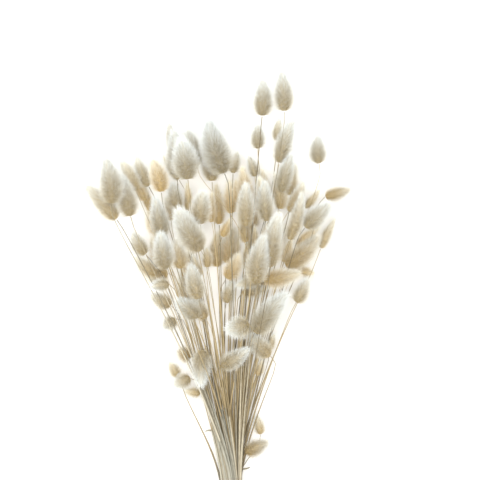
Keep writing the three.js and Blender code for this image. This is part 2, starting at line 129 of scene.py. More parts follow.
def ring_in(group):
    """Three vertices of the group, each pair of them one side of a stem's section apart."""
    for v in in_order(group):
        beside = [e.other_vert(v) for e in v.link_edges if is_side(e)]
        for i, a in enumerate(beside):
            for e in a.link_edges:
                if e.other_vert(a) in beside[i + 1 :] and is_side(e):
                    return [v, a, e.other_vert(a)]
    return None


# %% Walking a stem to its head
LARGEST_RING = 4


def next_section(ahead, seen):
    """The vertices that the stem goes on with, and the ring of three in them."""
    while ahead:
        group = together(in_order(ahead)[:1], lambda e: e.calc_length() < RING_EDGE) - seen
        ahead -= group
        section = ring_in(group)
        if section:
            return group, section
        seen |= group  # a place where two stems of the node cross


def walk_up(ring, seen):
    """The middles of the rings above the tie, and the vertices of the head at the end."""
    line, here = [middle(ring)], set(ring)
    while len(here) <= LARGEST_RING:
        seen |= here
        ahead = {e.other_vert(v) for v in here for e in v.link_edges} - seen
        ahead = {v for v in ahead if v.co.y > tie_high.y + LEVEL}
        here, section = next_section(ahead, seen)
        line.append(middle(section))
    head = together(here, lambda e: seen.isdisjoint(e.verts))
    return line, in_order(head)


def foot_of(ring):
    """The middle of a stem's cut end."""
    below = {e.other_vert(v) for v in ring for e in v.link_edges}
    return middle([v for v in below if v.co.y < tie_low.y - MM])


# %% [markdown]
# The form of a head
#
# A head is an egg with its belly low and a blunt base, and many are bowed. The coarse head of the frame has
# only a few corners, so we don't copy it but measure its base, its tip, its width and its bow. One formula
# for the outline then gives a smooth head of any size.

# %% Reading a head's form
LOW_BELLY = 0.72
BLUNT = 0.62
MEASURED = (0.15, 0.85)


def outline(share):
    """Half the width of a head at a share of its length, 1 at its widest."""
    share = min(1.0, max(0.0, share))
    return math.sin(math.pi * share**LOW_BELLY) ** BLUNT if 0 < share < 1 else 0.0


def read_head(base, verts):
    """Base, tip, half width and sideways bow of a head. The bow is an arch of height 1 at the middle."""
    tip = max((v.co for v in verts), key=lambda co: (co - base).length).copy()
    axis = tip - base
    length = axis.length
    axis.normalize()
    offs = []
    for v in verts:
        share = (v.co - base).dot(axis) / length
        off = (v.co - base) - axis * share * length
        if MEASURED[0] < share < MEASURED[1]:
            offs.append((share, off))
    bow = sum((off for _, off in offs), Vector()) / sum(4 * s * (1 - s) for s, _ in offs)
    width = max((off - bow * 4 * s * (1 - s)).length / outline(s) for s, off in offs)
    return {"base": base, "tip": tip, "half_width": width, "bow": bow, "length": length}


# %% [markdown]
# The line of a stem
#
# A dried straw bends in long easy curves, but a line through the rings of the frame has corners. Cutting
# each corner off twice makes it smooth enough for a thin stem.

# %% Smooth lines
CORNER_CUT = 0.25
ROUNDS = 2


def rounded(line):
    """The line with its corners cut off and its ends kept."""
    for _ in range(ROUNDS):
        cut = [line[0]]
        for a, b in zip(line, line[1:]):
            cut += [a.lerp(b, CORNER_CUT), a.lerp(b, 1 - CORNER_CUT)]
        line = cut + [line[-1]]
    return line


def place_at(line, y):
    """Where a stem passes a height along the bunch."""
    for a, b in zip(line, line[1:]):
        if a.y <= y <= b.y:
            return a.lerp(b, (y - a.y) / (b.y - a.y))
    return line[0]


def read_culms(name):
    """Each culm of a node as its stem's line and its head's form."""
    bm = merged_copy(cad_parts[name])
    culms, seen = [], set()
    for top, bottom in zip(rings_at(bm, tie_high.y), rings_at(bm, tie_low.y)):
        line, head = walk_up(top, seen)
        line = [foot_of(bottom), middle(bottom), *line]
        culms.append({"line": rounded(line), "head": read_head(line[-1], head)})
    bm.free()
    return culms


culms_of = {name: read_culms(name) for name in culm_nodes}
all_heads = [culm["head"] for culms in culms_of.values() for culm in culms]
all_lines = [culm["line"] for culms in culms_of.values() for culm in culms]
print("culms:", len(all_heads))
print("longest head in mm:", round(max(h["length"] for h in all_heads) / MM))

# %% [markdown]
# Guides
#
# Geometry Nodes will grow stems, leaves and heads, each along a line. The lines of a node's culms go into
# one mesh of loose edges. Each point carries its thickness, which of the three it is, how wide the whole
# head is, and a tone and a shade, because in a bleached bunch some culms stay golden and some are darker.

# %% Guide lines with their attributes
FOOT_THICK = 1.30 * MM
NECK_THICK = 0.31 * MM
STRAIGHT_SHARE = 0.15
CORE_SHARE = 0.58
CORE_STARTS = 0.03
CORE_LEAST = 0.16
OUTLINE_FROM, OUTLINE_SPAN = 0.03, 0.94
SOFT_TIP = 0.5
AXIS_POINTS = 11


def stem_thickness(point, line):
    """Stout up to the middle of the culm, then thinner and thinner towards the head."""
    reach = max(STRAIGHT_SHARE, min(1.0, (point.y - line[0].y) / (line[-1].y - line[0].y)))
    return NECK_THICK + (FOOT_THICK - NECK_THICK) * (0.5 + 0.5 * math.cos(math.pi * reach))


def core_axis(head):
    """Points along a head's core with its thickness there. The tip of the head is down alone."""
    ends = 1.0 - SOFT_TIP * head["half_width"] / head["length"]
    rows = []
    for i in range(AXIS_POINTS):
        u = i / (AXIS_POINTS - 1)
        s = CORE_STARTS + (ends - CORE_STARTS) * u
        point = head["base"].lerp(head["tip"], s) + head["bow"] * 4 * s * (1 - s)
        full = max(CORE_LEAST, outline(OUTLINE_FROM + OUTLINE_SPAN * u))
        rows.append((point, CORE_SHARE * head["half_width"] * full))
    return rows


def guide_mesh(name, culms, looks, leaves):
    """Loose edges along every stem, head and leaf, with the attributes on each point."""
    points, edges = [], []
    values = {"thick": [], "is_head": [], "is_leaf": [], "half_width": [], "tone": [], "shade": []}

    def add_line(rows, is_head, is_leaf, half_width, look):
        for i, (point, thick) in enumerate(rows):
            if i:
                edges.append((len(points) - 1, len(points)))
            points.append(point)
            for key, value in zip(values, (thick, is_head, is_leaf, half_width, *look)):
                values[key].append(value)

    for culm, (stout, stem_look, head_look), leaf in zip(culms, looks, leaves):
        line, width = culm["line"], culm["head"]["half_width"]
        add_line([(p, stout * stem_thickness(p, line)) for p in line], 0.0, 0.0, width, stem_look)
        add_line(core_axis(culm["head"]), 1.0, 0.0, width, head_look)
        if leaf:
            add_line(leaf[0], 0.0, 1.0, width, leaf[1])
    mesh = bpy.data.meshes.new(name)
    mesh.from_pydata(points, edges, [])
    for key, column in values.items():
        mesh.attributes.new(key, "FLOAT", "POINT").data.foreach_set("value", column)
    return mesh


# %% [markdown]
# Node trees in a few words
#
# Every tree below is built by the same few helpers. The first fills the inputs of a node, the second adds a
# node, and the rest are short names for what is used often.

# %% Helpers for node trees
def fill(tree, node, inputs):
    """Fills inputs. A socket or a node's first output is linked, and any other value is set."""
    for key, value in inputs.items():
        if isinstance(value, bpy.types.Node):
            value = value.outputs[0]
        if isinstance(value, bpy.types.NodeSocket):
            tree.links.new(value, node.inputs[key])
        else:
            node.inputs[key].default_value = value


def add(tree, kind, inputs=None, **properties):
    node = tree.nodes.new(kind)
    for key, value in properties.items():
        setattr(node, key, value)
    fill(tree, node, inputs or {})
    return node


def tree_input(tree, name, kind, value=None):
    socket = tree.interface.new_socket(name, in_out="INPUT", socket_type=f"NodeSocket{kind}")
    if value is not None:
        socket.default_value = value


def tree_output(tree, name, result, kind="Geometry"):
    """Names and links what comes out, and gives back the finished tree."""
    tree.interface.new_socket(name, in_out="OUTPUT", socket_type=f"NodeSocket{kind}")
    add(tree, "NodeGroupOutput", {0: result})
    return tree


def attribute(tree, name, kind="FLOAT"):
    return add(tree, "GeometryNodeInputNamedAttribute", {"Name": name}, data_type=kind).outputs[0]


def position(tree):
    return tree.nodes.new("GeometryNodeInputPosition")


def math_node(tree, operation, a, b=0.0, c=0.0):
    return add(tree, "ShaderNodeMath", {0: a, 1: b, 2: c}, operation=operation)


def times(tree, a, b):
    return math_node(tree, "MULTIPLY", a, b)


def times_plus(tree, a, b, c):
    return math_node(tree, "MULTIPLY_ADD", a, b, c)


def power(tree, a, b):
    return math_node(tree, "POWER", a, b)


def vector_math(tree, operation, a, b=(0, 0, 0)):
    return add(tree, "ShaderNodeVectorMath", {0: a, 1: b}, operation=operation)


def scaled(tree, vector, factor):
    return add(tree, "ShaderNodeVectorMath", {0: vector, "Scale": factor}, operation="SCALE")


def stored(tree, geometry, name, value, kind="FLOAT"):
    """Keeps a value on every point under a name."""
    given = {"Geometry": geometry, "Name": name, "Value": value}
    return add(tree, "GeometryNodeStoreNamedAttribute", given, data_type=kind, domain="POINT")


def random_number(tree, low, high, seed):
    return add(tree, "FunctionNodeRandomValue", {2: low, 3: high, 8: seed}, data_type="FLOAT").outputs[1]


def dressed(tree, geometry, material):
    return add(tree, "GeometryNodeSetMaterial", {"Geometry": geometry, "Material": material})


def circle(tree, sides):
    size = {"Resolution": sides, "Radius": 1.0}
    return add(tree, "GeometryNodeCurvePrimitiveCircle", size, mode="RADIUS")


def swept(tree, lines, section, thick):
    """A closed tube along each line, with the given section, as thick as a field says."""
    given = {"Curve": lines, "Profile Curve": section, "Scale": thick, "Fill Caps": True}
    return add(tree, "GeometryNodeCurveToMesh", given)


def planted(tree, points, instance, rotation, size):
    """A copy of a small geometry on every point, made real."""
    given = {**points, "Instance": instance, "Rotation": rotation, "Scale": size}
    copies = add(tree, "GeometryNodeInstanceOnPoints", given)
    return add(tree, "GeometryNodeRealizeInstances", {"Geometry": copies})


# %% [markdown]
# One hair
#
# Under a lens a hair of the down is a flat bristle, broad at its root and drawn out to nothing. Three
# triangles are enough, because there are a few thousand on every head. It stands on Z with its face towards
# Y, curls back a little, and each point carries how far along it is, for the colour.

# %% The tree of one hair
CURL = 0.14
DRAWN_OUT = 0.9
WELD = 0.001


def build_hair_tree():
    tree = bpy.data.node_groups.new("hair", "GeometryNodeTree")
    tree_input(tree, "Curl", "Float", CURL)
    given = tree.nodes.new("NodeGroupInput").outputs
    size = {"Size X": 1.0, "Size Y": 1.0, "Vertices X": 2, "Vertices Y": 3}
    card = add(tree, "GeometryNodeMeshGrid", size)
    where = add(tree, "ShaderNodeSeparateXYZ", {0: position(tree)}).outputs
    along = math_node(tree, "ADD", where["Y"], 0.5)
    left = math_node(tree, "SUBTRACT", 1.0, along)
    # The minus sign turns the card's face to the front.
    width = times(tree, power(tree, left, DRAWN_OUT), -1.0)
    curl = times(tree, power(tree, along, 2.0), given["Curl"])
    across = times(tree, where["X"], width)
    place = add(tree, "ShaderNodeCombineXYZ", {"X": across, "Y": curl, "Z": along})
    marked = stored(tree, card, "along", along)
    shaped = add(tree, "GeometryNodeSetPosition", {"Geometry": marked, "Position": place})
    pointed = add(tree, "GeometryNodeMergeByDistance", {"Geometry": shaped, "Distance": WELD})
    return tree_output(tree, "Hair", pointed)


hair_tree = build_hair_tree()
print("tree:", hair_tree.name)

# %% [markdown]
# Stems and leaves
#
# A straw is a hollow tube, slightly swollen at each joint. Nobody can look far into it, so it becomes a
# closed tube, and a dark disc of painted shade just in front of each cut end stands for the shaded hole. A
# leaf is a sheath close round its straw: a second, wider tube on a stretch of the same line. Where it still
# has its withered blade, the line goes on, out of the bunch, and gets thin.

# %% Stems, hollow ends and leaves
STEM_STEP = 10 * MM
STEM_SIDES = 8
LEAF_SIDES = 7
JOINT_EVERY = 0.118
JOINT_SHIFT = 7.0
JOINT_SWELLING = 0.15
JOINT_ROUNDNESS = 40.0
SHADE_DISC_SHARE = 0.5
SHADE_DISC_AHEAD = 0.08


def joint_band(tree, far, tone, sharpness):
    """1 at the joints of a straw and 0 between them. Each culm has them at heights of its own."""
    turns = times_plus(tree, tone, JOINT_SHIFT, math_node(tree, "DIVIDE", far, JOINT_EVERY))
    wave = math_node(tree, "COSINE", times(tree, turns, 2 * math.pi))
    return power(tree, times_plus(tree, wave, 0.5, 0.5), sharpness)


def hollow_shade_from(tree, lines, thick, given):
    # A dark disc of painted shade just inside each cut end, where the inside of the straw lies in shade.
    rim = {"Vertices": STEM_SIDES, "Radius": SHADE_DISC_SHARE}
    disc = add(tree, "GeometryNodeMeshCircle", rim, fill_type="NGON")
    ahead = add(tree, "GeometryNodeTransform", {"Geometry": disc, "Translation": (0, 0, SHADE_DISC_AHEAD)})
    outward = scaled(tree, tree.nodes.new("GeometryNodeInputTangent"), -1.0)
    facing = add(tree, "FunctionNodeAlignRotationToVector", {"Vector": outward}, axis="Z")
    first = add(tree, "GeometryNodeCurveEndpointSelection", {"Start Size": 1, "End Size": 0})
    cut_ends = {"Points": lines, "Selection": first}
    return dressed(tree, planted(tree, cut_ends, ahead, facing, thick), given["Hollow shade"])


def stems_from(tree, lines, given):
    smooth = add(tree, "GeometryNodeCurveSplineType", {"Curve": lines}, spline_type="CATMULL_ROM")
    even = add(tree, "GeometryNodeResampleCurve", {"Curve": smooth, "Length": STEM_STEP}, mode="LENGTH")
    along_it = tree.nodes.new("GeometryNodeSplineParameter").outputs
    measured = stored(tree, even, "far", along_it["Length"])
    measured = stored(tree, measured, "up", along_it["Factor"])
    swelling = joint_band(tree, attribute(tree, "far"), attribute(tree, "tone"), JOINT_ROUNDNESS)
    swollen = times_plus(tree, swelling, JOINT_SWELLING, 1.0)
    thick = times(tree, attribute(tree, "thick"), swollen)
    straws = dressed(tree, swept(tree, measured, circle(tree, STEM_SIDES), thick), given["Straw"])
    return straws, hollow_shade_from(tree, measured, thick, given)


def leaves_from(tree, lines, given):
    told = stored(tree, lines, "up", tree.nodes.new("GeometryNodeSplineParameter"))
    thick = attribute(tree, "thick")
    return dressed(tree, swept(tree, told, circle(tree, LEAF_SIDES), thick), given["Leaf"])


# %% [markdown]
# Heads
#
# Under the down sits a core of tight spikelets, a tube that swells like the outline of the head, and cells
# of a Voronoi pattern push it out into knobs. The hairs stand on a smooth copy, so that their directions
# stay even. They lean towards the tip: little at the base, where the down flares, and strongly at the tip,
# where it closes to a soft point. They are thin and not too many, so that the tan core shows where we look
# straight into the coat and only the rim, seen along it, turns white.

# %% Cores
CORE_RINGS = 13
CORE_SIDES = 11
SPIKELETS_A_METRE = 420.0
KNOB = 1.5 * MM


def cores_from(tree, lines):
    """The cores, smooth and knobbly. Each point knows its way along the head and its share of the length."""
    smooth = add(tree, "GeometryNodeCurveSplineType", {"Curve": lines}, spline_type="CATMULL_ROM")
    even = add(tree, "GeometryNodeResampleCurve", {"Curve": smooth, "Count": CORE_RINGS}, mode="COUNT")
    told = stored(tree, even, "way", tree.nodes.new("GeometryNodeInputTangent"), "FLOAT_VECTOR")
    told = stored(tree, told, "share", tree.nodes.new("GeometryNodeSplineParameter"))
    thick = attribute(tree, "thick")
    body = swept(tree, told, circle(tree, CORE_SIDES), thick)
    grain = add(tree, "ShaderNodeTexVoronoi", {"Vector": position(tree), "Scale": SPIKELETS_A_METRE})
    lift = times(tree, math_node(tree, "SUBTRACT", 0.5, grain), KNOB)
    outward = scaled(tree, tree.nodes.new("GeometryNodeInputNormal"), lift)
    return body, add(tree, "GeometryNodeSetPosition", {"Geometry": body, "Offset": outward})


# %% How a hair stands
LEAN_GROWS = 2.5
ROLL = 1.3


def hair_rotation(tree, normal, given):
    """Square on the core, then leaning towards the tip, tousled, and rolled a little about itself."""
    way = attribute(tree, "way", "FLOAT_VECTOR")
    backward = vector_math(tree, "DOT_PRODUCT", normal, way).outputs["Value"]
    sideways = vector_math(tree, "SUBTRACT", normal, scaled(tree, way, backward))
    sideways = vector_math(tree, "NORMALIZE", sideways)
    tipward = power(tree, attribute(tree, "share"), LEAN_GROWS)
    lean = times_plus(tree, tipward, given["Lean at the tip"], given["Lean at the base"])
    leaning = vector_math(tree, "ADD", sideways, scaled(tree, way, lean))
    any_way = {0: (-1, -1, -1), 1: (1, 1, 1), 8: 3}
    stray = add(tree, "FunctionNodeRandomValue", any_way, data_type="FLOAT_VECTOR")
    toward = vector_math(tree, "ADD", leaning, scaled(tree, stray, given["Tousle"]))
    upright = add(tree, "FunctionNodeAlignRotationToVector", {"Vector": toward}, axis="Z")
    aim = {"Rotation": upright, "Vector": normal}
    facing = add(tree, "FunctionNodeAlignRotationToVector", aim, axis="Y", pivot_axis="Z")
    angle = random_number(tree, -ROLL, ROLL, seed=4)
    roll = add(tree, "FunctionNodeAxisAngleToRotation", {"Axis": (0, 0, 1), "Angle": angle})
    both = {"Rotation": facing, "Rotate By": roll}
    return add(tree, "FunctionNodeRotateRotation", both, rotation_space="LOCAL")


# %% How long and wide a hair is
SHORTEST = 0.55
LONGER_AT_BELLY = 0.25
LONGER_BY_CHANCE = 0.3
CHANCE_IS_RARE = 3.0
BELLY_IS_LOW = 0.6
BRISTLE_IS_RARE = 60.0
WIDTHS = (0.7, 1.3)


def hair_size(tree, given):
    """Hairs are longest round the belly, a few grow longer by chance, and a bristle longer still."""
    by_chance = power(tree, random_number(tree, 0.0, 1.0, seed=5), CHANCE_IS_RARE)
    low_down = power(tree, attribute(tree, "share"), BELLY_IS_LOW)
    belly = math_node(tree, "SINE", times(tree, low_down, math.pi))
    at_belly = times_plus(tree, belly, LONGER_AT_BELLY, SHORTEST)
    usual = times_plus(tree, by_chance, LONGER_BY_CHANCE, at_belly)
    bristle = power(tree, random_number(tree, 0.0, 1.0, seed=8), BRISTLE_IS_RARE)
    longer = times_plus(tree, bristle, given["Bristle"], usual)
    full = times(tree, attribute(tree, "half_width"), given["Hair length to half width"])
    length = times(tree, full, longer)
    width = times(tree, given["Hair width"], random_number(tree, *WIDTHS, seed=6))
    return add(tree, "ShaderNodeCombineXYZ", {"X": width, "Y": length, "Z": length})


# %% Hairs on the cores
HAIR_SHADES = (0.88, 1.08)


def hairs_from(tree, cores, given):
    dense = {"Mesh": cores, "Density": given["Hairs per square metre"], "Seed": given["Seed"]}
    strewn = add(tree, "GeometryNodeDistributePointsOnFaces", dense, distribute_method="RANDOM").outputs
    own = random_number(tree, *HAIR_SHADES, seed=7)
    varied = times(tree, attribute(tree, "shade"), own)
    hair = add(tree, "GeometryNodeGroup", node_tree=hair_tree)
    roots = {"Points": stored(tree, strewn["Points"], "shade", varied)}
    rotation = hair_rotation(tree, strewn["Normal"], given)
    coat = planted(tree, roots, hair, rotation, hair_size(tree, given))
    flat = add(tree, "GeometryNodeSetShadeSmooth", {"Geometry": coat, "Shade Smooth": False})
    return dressed(tree, flat, given["Down"])


# %% [markdown]
# One node's culms
#
# The whole tree sorts the guide lines and grows each kind. The down of the lowest heads would reach through
# the table, so every point is kept just above it, as down is pressed flat where it rests. In the same way
# nothing rises more than a hair's length over the frame.

# %% The whole tree
OVER_TABLE = 0.1 * MM
OVER_FRAME = 11 * MM
COAT = {
    "Hairs per square metre": 4.75e6,
    "Hair length to half width": 1.12,
    "Bristle": 0.55,
    "Hair width": 0.205 * MM,
    "Lean at the base": 0.42,
    "Lean at the tip": 2.6,
    "Tousle": 0.42,
}


def separated(tree, lines, name):
    """The lines that an attribute marks, and the others."""
    picked = {"Geometry": lines, "Selection": attribute(tree, name)}
    return add(tree, "GeometryNodeSeparateGeometry", picked, domain="POINT").outputs


def rested(tree, geometry):
    """The geometry, kept between the table and a hair's length over the frame."""
    where = add(tree, "ShaderNodeSeparateXYZ", {0: position(tree)}).outputs
    above = math_node(tree, "MAXIMUM", where["Z"], OVER_TABLE)
    above = math_node(tree, "MINIMUM", above, cad_high.z + OVER_FRAME)
    place = add(tree, "ShaderNodeCombineXYZ", {"X": where["X"], "Y": where["Y"], "Z": above})
    return add(tree, "GeometryNodeSetPosition", {"Geometry": geometry, "Position": place})


def build_culm_tree():
    tree = bpy.data.node_groups.new("bunny_tail_culms", "GeometryNodeTree")
    tree_input(tree, "Lines", "Geometry")
    for name, value in COAT.items():
        tree_input(tree, name, "Float", value)
    tree_input(tree, "Seed", "Int", 0)
    for name in ("Straw", "Hollow shade", "Leaf", "Spikelets", "Down"):
        tree_input(tree, name, "Material")
    given = tree.nodes.new("NodeGroupInput").outputs
    heads = separated(tree, given["Lines"], "is_head")
    leaves = separated(tree, heads["Inverted"], "is_leaf")
    kinds = (heads["Selection"], leaves["Selection"], leaves["Inverted"])
    curves = [add(tree, "GeometryNodeMeshToCurve", {"Mesh": kind}) for kind in kinds]
    head_lines, leaf_lines, stem_lines = curves
    stems, hollow_shades = stems_from(tree, stem_lines, given)
    smooth_cores, rough_cores = cores_from(tree, head_lines)
    cores = dressed(tree, rough_cores, given["Spikelets"])
    hairs = hairs_from(tree, smooth_cores, given)
    joined = tree.nodes.new("GeometryNodeJoinGeometry")
    for part in (stems, hollow_shades, leaves_from(tree, leaf_lines, given), cores, hairs):
        fill(tree, joined, {0: part})
    return tree_output(tree, "Culms", rested(tree, joined))


culm_tree = build_culm_tree()
print("tree:", culm_tree.name, "with", len(culm_tree.nodes), "nodes")

# %% [markdown]
# Finishes
#
# Dried grass is dull, and every colour on it lies between a dark root and a light tip. One shader group
# mixes them: two colours by a share that the finish works out, shifted towards gold by the culm's tone and
# darkened by its shade. Both are attributes of the mesh, so one material serves all culms and yet no two
# are alike. Light parts are smoother, so the share drives the roughness too.

# %% A shared group: four colours, a share and a tone
COLOURS = ("Pale root", "Pale tip", "Golden root", "Golden tip")


def build_tone_group():
    tree = bpy.data.node_groups.new("bleached_tone", "ShaderNodeTree")
    for name in COLOURS:
        tree_input(tree, name, "Color")
    for name in ("Share", "Tone", "Shade"):
        tree_input(tree, name, "Float", 0.5)
    given = tree.nodes.new("NodeGroupInput").outputs

    def mixed(factor, a, b, blend="MIX"):
        sides = {0: factor, 6: a, 7: b}
        return add(tree, "ShaderNodeMix", sides, data_type="RGBA", blend_type=blend).outputs[2]

    pale = mixed(given["Share"], given["Pale root"], given["Pale tip"])
    golden = mixed(given["Share"], given["Golden root"], given["Golden tip"])
    both = mixed(given["Tone"], pale, golden)
    grey = add(tree, "ShaderNodeCombineColor", dict.fromkeys(range(3), given["Shade"]))
    return tree_output(tree, "Color", mixed(1.0, both, grey, "MULTIPLY"), "Color")


tone_group = build_tone_group()
print("group:", tone_group.name)

# %% A material from the group
LITTLE_SHINE = 0.2
RELIEF_STRENGTH = 0.6


def new_material(name):
    material = bpy.data.materials.new(name)
    material.use_nodes = True
    return material, material.node_tree, material.node_tree.nodes["Principled BSDF"]


def read(tree, name):
    """A value that the meshes carry, for a material."""
    return add(tree, "ShaderNodeAttribute", attribute_name=name).outputs["Fac"]


def own_tone(tree):
    return read(tree, "tone")


def toned_material(name, colours, share_of, roughness, relief_of=None, relief=0.0, tone_of=own_tone):
    """A dull material coloured by the shared group, with its roughness at the root and at the tip."""
    material, tree, shader = new_material(name)
    fill(tree, shader, {"Specular IOR Level": LITTLE_SHINE})
    group = add(tree, "ShaderNodeGroup", node_tree=tone_group)
    fill(tree, group, {key: (*colour, 1.0) for key, colour in zip(COLOURS, colours)})
    fill(tree, group, {"Tone": tone_of(tree), "Shade": read(tree, "shade")})
    share = share_of(tree)
    fill(tree, group, {"Share": share})
    fill(tree, shader, {"Base Color": group})
    dullness = add(tree, "ShaderNodeMapRange", {0: share, 3: roughness[0], 4: roughness[1]})
    fill(tree, shader, {"Roughness": dullness})
    if relief_of:
        given = {"Height": relief_of(tree), "Distance": relief, "Strength": RELIEF_STRENGTH}
        fill(tree, shader, {"Normal": add(tree, "ShaderNodeBump", given)})
    return material


# %% [markdown]
# Straw and leaves
#
# Bleached straw has fine streaks and a thin brown line at each joint. A pale culm darkens towards its head.
# Towards the waist, where the bundle is dense, every culm gets painted shade, and a golden one, which lies
# deeper, gets the most. Below the waist the straw is greyish green, because the lowest part of a culm
# bleaches least. The cut rim is light. Leaves have stronger veins and a brown margin at the mouth of the
# sheath.

# %% Straw
STREAKS_A_METRE = (1100.0, 28.0, 1100.0)
WAIST_FAR = 0.085
GOLDEN_SPAN = 0.04
PAINTED_SHADE_SPAN = 0.13
DARKER_AT_HEAD = -0.7
PAINTED_SHADE_AT_FOOT = -0.42
FOOT_LEAST = 0.4
STREAKS = (0.9, 0.45)
CUT_RIM = 0.3 * MM
JOINT_LINE = 900.0
DARKER_AT_JOINT = -0.3


def straw_streaks(tree):
    """Fine streaks that run along the stem."""
    where = add(tree, "ShaderNodeTexCoord").outputs["Object"]
    stretched = add(tree, "ShaderNodeMapping", {"Vector": where, "Scale": STREAKS_A_METRE})
    return add(tree, "ShaderNodeTexNoise", {"Vector": stretched, "Scale": 1.0, "Detail": 3.0})


def rising(tree, low, span):
    """0 up to a distance along the stem from its foot, and 1 from a span further on."""
    given = {0: math_node(tree, "SUBTRACT", read(tree, "far"), low), 1: 1 / span, 2: 0.0}
    return add(tree, "ShaderNodeMath", given, operation="MULTIPLY_ADD", use_clamp=True)


def straw_share(tree):
    """A pale culm darkens towards its head, and each culm gets painted shade towards the waist, most if
    golden.
    """
    up, tone = read(tree, "up"), read(tree, "tone")
    pale_culm = math_node(tree, "SUBTRACT", 1.0, tone)
    at_head = times(tree, power(tree, up, 2.0), pale_culm)
    # Painted shade of the dense bundle: darker from above the waist down to the foot, most for golden culms.
    to_foot = math_node(tree, "SUBTRACT", 1.0, rising(tree, WAIST_FAR, PAINTED_SHADE_SPAN))
    painted_shade_at_foot = times(tree, to_foot, math_node(tree, "ADD", tone, FOOT_LEAST))
    streaked = times_plus(tree, straw_streaks(tree), *STREAKS)
    pale = times_plus(tree, at_head, DARKER_AT_HEAD, streaked)
    pale = times_plus(tree, painted_shade_at_foot, PAINTED_SHADE_AT_FOOT, pale)
    cut = math_node(tree, "LESS_THAN", read(tree, "far"), CUT_RIM)
    pale = math_node(tree, "ADD", pale, cut)
    band = joint_band(tree, read(tree, "far"), tone, JOINT_LINE)
    return times_plus(tree, band, DARKER_AT_JOINT, pale)


def straw_tone(tree):
    """Golden only from the waist on. Below it the straw stays greyish green."""
    return times(tree, read(tree, "tone"), rising(tree, WAIST_FAR, GOLDEN_SPAN))


straw = toned_material(
    "bleached_straw",
    ((0.12, 0.10, 0.055), (0.55, 0.525, 0.43), (0.32, 0.205, 0.075), (0.75, 0.60, 0.34)),
    straw_share,
    (0.75, 0.5),
    straw_streaks,
    0.2 * MM,
    straw_tone,
)
# Painted shade: the dark inside of a hollow straw, put on a disc.
hollow_shade = toned_material(
    "painted_shade_in_the_straw",
    ((0.05, 0.035, 0.02), (0.16, 0.12, 0.07), (0.06, 0.035, 0.015), (0.18, 0.12, 0.06)),
    straw_streaks,
    (1.0, 0.85),
)
print("materials:", straw.name, hollow_shade.name)

# %% Leaves
MARGIN_IS_THIN = 14.0
DARKER_AT_MARGIN = -0.35
LEAF_VEINS = (1.3, 0.1)


def leaf_share(tree):
    """Fine veins, and a thin brown margin where the sheath ends."""
    margin = power(tree, read(tree, "up"), MARGIN_IS_THIN)
    veined = times_plus(tree, straw_streaks(tree), *LEAF_VEINS)
    return times_plus(tree, margin, DARKER_AT_MARGIN, veined)


leaf_straw = toned_material(
    "dry_leaf",
    ((0.13, 0.12, 0.08), (0.43, 0.42, 0.345), (0.20, 0.14, 0.06), (0.50, 0.40, 0.25)),
    leaf_share,
    (0.85, 0.6),
    straw_streaks,
    0.3 * MM,
)
print("material:", leaf_straw.name)

# %% [markdown]
# Spikelets and down
#
# The spikelets are tan, with a grain as fine as the knobs of the core. A hair is tan at its root and almost
# white at its end, so a head looks tan where we look into the coat and white at the rim, where hairs are
# seen from the side. Near the tip of a head both are pale, or the core's end would show as a brown spot.

# %% Spikelets and down
PALER_UP_THE_CORE = 0.45
GRAIN = 0.4
CORE_TIP, CORE_TIP_PALER = 8.0, 0.5
HAIR_WHITENS = 1.4
WHITER_UP_THE_HEAD = (0.4, 0.85)
HEAD_TIP, HEAD_TIP_PALER = 1.6, 0.7


def spikelet_grain(tree):
    where = add(tree, "ShaderNodeTexCoord").outputs["Object"]
    return add(tree, "ShaderNodeTexVoronoi", {"Vector": where, "Scale": SPIKELETS_A_METRE})


def spikelet_share(tree):
    """Tan low on the head and paler towards its tip, with the grain of the spikelets."""
    share = read(tree, "share")
    grained = times_plus(tree, share, PALER_UP_THE_CORE, times(tree, spikelet_grain(tree), GRAIN))
    return times_plus(tree, power(tree, share, CORE_TIP), CORE_TIP_PALER, grained)


def hair_share(tree):
    """Tan at a hair's root and white at its end. Near the head's tip the roots are pale as well."""
    along = power(tree, read(tree, "along"), HAIR_WHITENS)
    share = read(tree, "share")
    whiter = times(tree, along, times_plus(tree, share, *WHITER_UP_THE_HEAD))
    return times_plus(tree, power(tree, share, HEAD_TIP), HEAD_TIP_PALER, whiter)


spikelets = toned_material(
    "spikelets",
    ((0.29, 0.225, 0.11), (0.72, 0.68, 0.57), (0.44, 0.305, 0.105), (0.78, 0.68, 0.46)),
    spikelet_share,
    (0.95, 0.8),
    spikelet_grain,
    0.6 * MM,
)
down = toned_material(
    "down",
    ((0.46, 0.375, 0.20), (0.84, 0.875, 0.87), (0.61, 0.445, 0.18), (0.88, 0.84, 0.72)),
    hair_share,
    (0.95, 0.7),
)
print("materials:", spikelets.name, down.name)

# %% [markdown]
# From a tree to a plain mesh
#
# A guide mesh gets the tree as a modifier, whose inputs are set by their identifiers, and the evaluated
# result is taken as a plain mesh. The guide is thrown away.

# %% Plain meshes from the tree
scene = bpy.context.scene


def placed(name, data):
    thing = bpy.data.objects.new(name, data)
    scene.collection.objects.link(thing)
    return thing


def plain_mesh(name, mesh, tree, values):
    guide = placed(f"{name}_guide", mesh)
    modifier = guide.modifiers.new("grow", "NODES")
    modifier.node_group = tree
    for item in tree.interface.items_tree:
        if item.item_type == "SOCKET" and item.in_out == "INPUT" and item.name in values:
            modifier[item.identifier] = values[item.name]
    graph = bpy.context.evaluated_depsgraph_get()
    made = bpy.data.meshes.new_from_object(guide.evaluated_get(graph), depsgraph=graph)
    bpy.data.objects.remove(guide)
    bpy.data.meshes.remove(mesh)
    made.name = name
    return made
